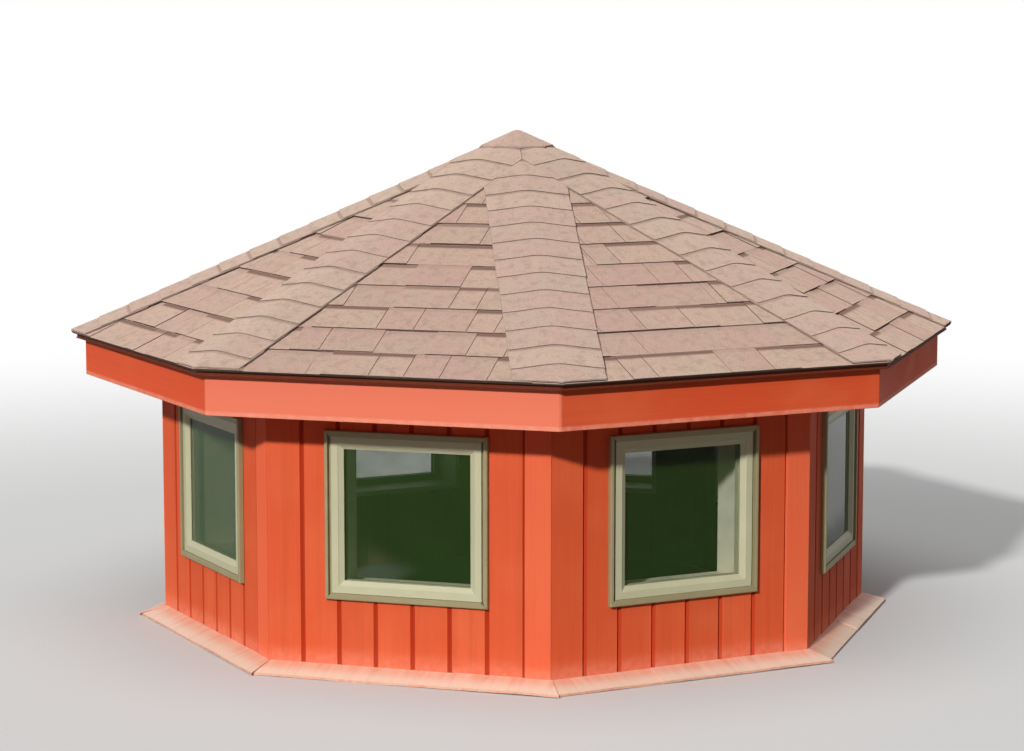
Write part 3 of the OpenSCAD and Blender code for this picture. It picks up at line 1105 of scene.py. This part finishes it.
def shingle_slope(draw):
    """All the courses of one slope, over the felt and the starter strip."""
    bm = bmesh.new()
    slab(bm, -WIDER, WIDER, 0.002, SLOPE_LENGTH, FELT_TOP, FELT_T, tilt=0.0)
    slab(bm, -WIDER, WIDER, 0.002, STARTER_H, STARTER_TOP, STARTER_T, tilt=0.0)
    course = 0
    while course * EXPOSURE < SLOPE_LENGTH:
        low = course * EXPOSURE + 0.0012
        reach = half_width(low) + 0.05
        x = -reach - draw.uniform(0.0, 0.9)
        while x < reach:
            right = x + STRIP_LENGTH - STRIP_GAP
            slab(bm, x, right, low, low + EXPOSURE + 0.05, STRIP_TOP, STRIP_T)
            x += STRIP_LENGTH
        x = -reach + draw.uniform(-0.1, 0.05)
        while x < reach:
            wide = draw.choice(TAB_WIDTHS) * draw.uniform(0.92, 1.08)
            if draw.random() < TAB_SHARE:
                sag = draw.uniform(-0.0010, 0.0012)
                top = low + EXPOSURE + 0.012
                slab(bm, x, x + wide - TAB_GAP, low - sag, top, 0.0, TAB_T)
            x += wide
        course += 1
    flat_run = MITRE * math.cos(PITCH)
    for hand in (-1, 1):
        edge = Vector((hand * (EAVE_R * MITRE - 0.0022), 0, 0))
        trim(bm, edge, Vector((hand, flat_run, 0)).normalized())
    lay(bm)
    darken_cuts(bm)
    bmesh.ops.transform(bm, matrix=tilt_up, verts=bm.verts)
    return bm


bm = bmesh.new()
draw = random.Random(53)
for side in range(8):
    slope = shingle_slope(draw)
    turn_to(slope, side)
    take_in(bm, slope)
print("shingle pieces", tones(bm, seed=59))
keep("shingle_courses", bm, "shingle", shingle_finish, "shingles")

# %% [markdown]
# ## Hip caps
# Over every hip, short pieces of shingle are folded and lapped from the eave to the top. One cap is
# a flat rectangle with a few creases. Each side of a crease is turned down a little, the outermost
# crease first, so that the fold is soft. Then the cap is thickened and laid along the hip. The
# whole row is cut at the eave. Near the top the hips come close, so every other row runs over its
# neighbours to their hip lines, and the rows between them stop at its edges.

# %% Hip caps
HIP_LENGTH = EAVE_R / math.cos(STEP / 2) / math.cos(HIP_RISE)
CAP_HALF = 0.152
CAP_LENGTH = 0.185
CAP_T = 0.0042
CAP_TILT = math.radians(1.5)
CREASES = (0.030, 0.017, 0.006)
upward = Vector((0, 0, 1))
outward = Vector((math.sin(STEP / 2), -math.cos(STEP / 2), 0))
slope_normal = Vector((0, -math.sin(PITCH), math.cos(PITCH)))
hip_up = upward * math.sin(HIP_RISE) - outward * math.cos(HIP_RISE)
hip_normal = upward * math.cos(HIP_RISE) + outward * math.sin(HIP_RISE)
hip_across = hip_up.cross(hip_normal)
FOLD = hip_normal.angle(slope_normal)
eave_corner = outward * (EAVE_R / math.cos(STEP / 2)) + upward * EAVE_Z
on_hip = Matrix((hip_across, hip_up, hip_normal)).transposed().to_4x4()
on_hip.translation = eave_corner


def hip_cap(low, draw):
    """One folded cap, low up the hip, with y along the hip and z out of it."""
    bm = bmesh.new()
    half = CAP_HALF + draw.uniform(-0.002, 0.002)
    bmesh.ops.create_grid(bm, x_segments=1, y_segments=1, size=1)
    stretch = Matrix.Diagonal((half, CAP_LENGTH / 2, 1, 1))
    onward = Matrix.Translation((0, CAP_LENGTH / 2, 0))
    bmesh.ops.transform(bm, matrix=onward @ stretch, verts=bm.verts)
    for x in (-0.1, *(-c for c in CREASES), 0.0, *reversed(CREASES), 0.1):
        cut_at(bm, (x, 0, 0), (1, 0, 0))
    for crease in CREASES:
        for hand in (-1, 1):
            beyond = [vert for vert in bm.verts if vert.co.x * hand > crease + 1e-6]
            turn = Matrix.Rotation(hand * FOLD / len(CREASES), 3, "Y")
            bmesh.ops.rotate(bm, verts=beyond, cent=(hand * crease, 0, 0), matrix=turn)
    for vert in bm.verts:
        if vert.co.y < 1e-6:
            vert.co.y -= CAP_ARCH * (1 - (vert.co.x / half) ** 2)
    bmesh.ops.translate(bm, verts=grow(bm, bm.faces[:]), vec=(0, 0, CAP_T))
    lay(bm)
    darken_cuts(bm)
    seat = Matrix.Translation((0, low, 0.0010)) @ Matrix.Rotation(-CAP_TILT, 4, "X")
    askew = Matrix.Rotation(draw.uniform(-0.006, 0.006), 4, "Z")
    bmesh.ops.transform(bm, matrix=seat @ askew, verts=bm.verts)
    return bm


def across_hip(steps):
    """The level direction square to a hip, counted in steps from the hip that a row is on."""
    angle = STEP / 2 + steps * STEP
    return Vector((math.cos(angle), math.sin(angle), 0))


def cap_row(draw, runs_over):
    """The lapped caps of one hip, cut at the eave and near the top."""
    bm = bmesh.new()
    low = 0.003
    while low < HIP_LENGTH:
        take_in(bm, hip_cap(low, draw))
        low += CAP_EXPOSURE
    bmesh.ops.transform(bm, matrix=on_hip, verts=bm.verts)
    for turn in (Matrix(), Matrix.Rotation(STEP, 4, "Z")):
        trim(bm, turn @ Vector((0, -EAVE_R + 0.001, 0)), turn @ Vector((0, -1, 0)))
    edge = 0.001 if runs_over else CAP_HALF
    trim(bm, across_hip(-1) * edge, -across_hip(-1))
    trim(bm, across_hip(1) * -edge, across_hip(1))
    return bm


draw = random.Random(61)
caps = cap_row(draw, runs_over=False)
over = cap_row(draw, runs_over=True)
turn_to(over, -1)
take_in(caps, over)
all_round(caps, 3, 3 * math.pi / 2)
print("hip cap pieces", tones(caps, seed=67))
keep("hip_cap_pieces", caps, "cap_shingle", cap_finish, "hip_caps")

# %% [markdown]
# ## Crown
# A small piece covers the ends of the hip caps at the very top. It is a low cone with eight sides.
# Its hips are softened, and its rim is turned down over the caps.

# %% Crown
CROWN_R = 0.125
RIM_H = 0.006
FOOT_LIFT, TOP_LIFT = 0.006, 0.0118
rim_z = slope_z(CROWN_R, -FOOT_LIFT) + RIM_H
rise = slope_z(0, -TOP_LIFT) - rim_z
turned = Matrix.Rotation(STEP / 2, 4, "Z")
bm = bmesh.new()
bmesh.ops.create_cone(
    bm, cap_ends=True, segments=8, radius1=CROWN_R / math.cos(STEP / 2), radius2=0.0,
    depth=rise, matrix=Matrix.Translation((0, 0, rim_z + rise / 2)) @ turned,
)
base = [face for face in bm.faces if face.normal.z < -0.9]
bmesh.ops.translate(bm, verts=grow(bm, base), vec=(0, 0, -RIM_H))
hips = []
for edge in bm.edges:
    a, b = (vert.co for vert in edge.verts)
    if abs(a.z - b.z) > 0.02:
        hips.append(edge)
ease(bm, 0.006, hips, segments=2)
lay(bm)
print("crown faces", len(bm.faces), "parts", tones(bm, seed=71))
keep("crown_piece", bm, "cap_shingle", cap_finish, "crown_cap")

# %% [markdown]
# ## Finishes on the CAD pieces that stay
# The rafters, the blocks between them, the hub and the deck keep their CAD shape. They only get
# the timber finishes, through their material slots.

# %% Timber on the frame's own nodes
for node_name, finish in (
    ("hip_rafters", rafter_finish), ("eave_blocking", deck_finish),
    ("rafter_hub", rafter_finish), ("roof_deck", deck_finish),
):
    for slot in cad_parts[node_name].material_slots:
        slot.material = finish.material
    print("timber on", node_name)
